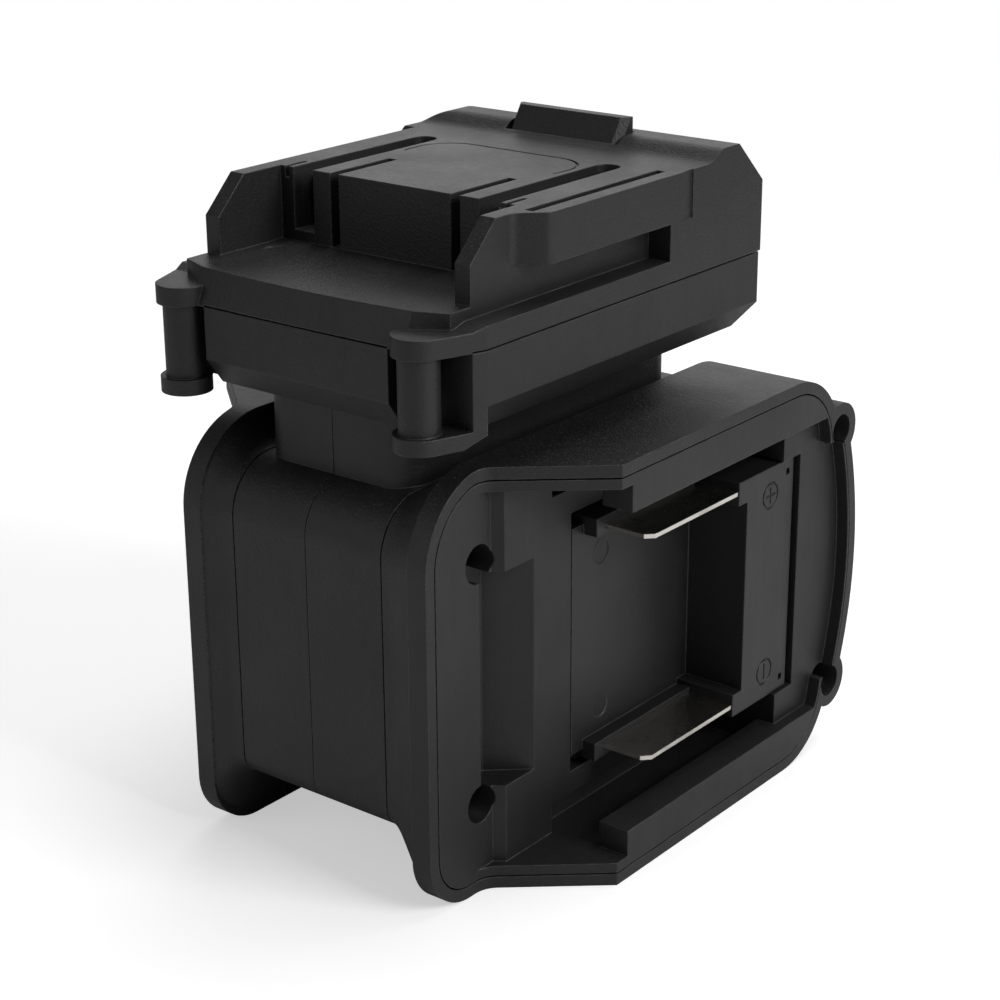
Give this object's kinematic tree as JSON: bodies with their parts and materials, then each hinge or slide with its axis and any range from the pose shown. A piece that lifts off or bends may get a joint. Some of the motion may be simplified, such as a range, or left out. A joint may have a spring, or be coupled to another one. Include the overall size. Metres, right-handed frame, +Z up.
{
  "type": "tool battery adapter",
  "caption": "Adapter that joins slide-on tool batteries in series: a latching slide plug on a neck above a body with a mirrored battery receiver on each side.",
  "frame": {"origin": "middle of the footprint at table height, on the seam of the body between the two receivers", "axes": "+X towards the right receiver, +Y towards the closed ends of the receivers (away from where batteries slide in), +Z up to the plug"},
  "size_m": [0.0878, 0.1078, 0.12],
  "materials": {
    "casing": "moulded black plastic with a fine spark texture",
    "holder": "moulded black plastic, smoother than the casing",
    "contact": "stamped, nickel plated",
    "fastener": "black zinc plated",
    "spring": "drawn spring wire",
    "lead_red": "red wire insulation",
    "lead_black": "black wire insulation"
  },
  "bodies": {
    "housing": {"body_left_half": "casing", "body_right_half": "casing", "body_screws": "fastener", "left_collar": "casing", "right_collar": "casing", "left_receiver_plate": "casing", "right_receiver_plate": "casing", "left_receiver_screws": "fastener", "right_receiver_screws": "fastener", "left_terminal_holder": "holder", "right_terminal_holder": "holder", "left_positive_blade": "contact", "left_negative_blade": "contact", "right_positive_blade": "contact", "right_negative_blade": "contact", "plug_lower_shell": "casing", "plug_upper_shell": "casing", "plug_case_screws": "fastener", "plug_positive_clip": "contact", "plug_negative_clip": "contact", "positive_lead": "lead_red", "negative_lead": "lead_black", "series_link": "lead_black"},
    "latch": {"latch_hook": "casing", "latch_spring": "spring"}
  },
  "joints": [
    {"name": "latch_slide", "type": "slide", "parent": "housing", "child": "latch", "axis": [0, 0, -1], "range_m": [0, 0.0046], "stiffness_N_per_m": 1200, "springref_m": -0.002, "deforming": ["latch_spring"]}
  ]
}
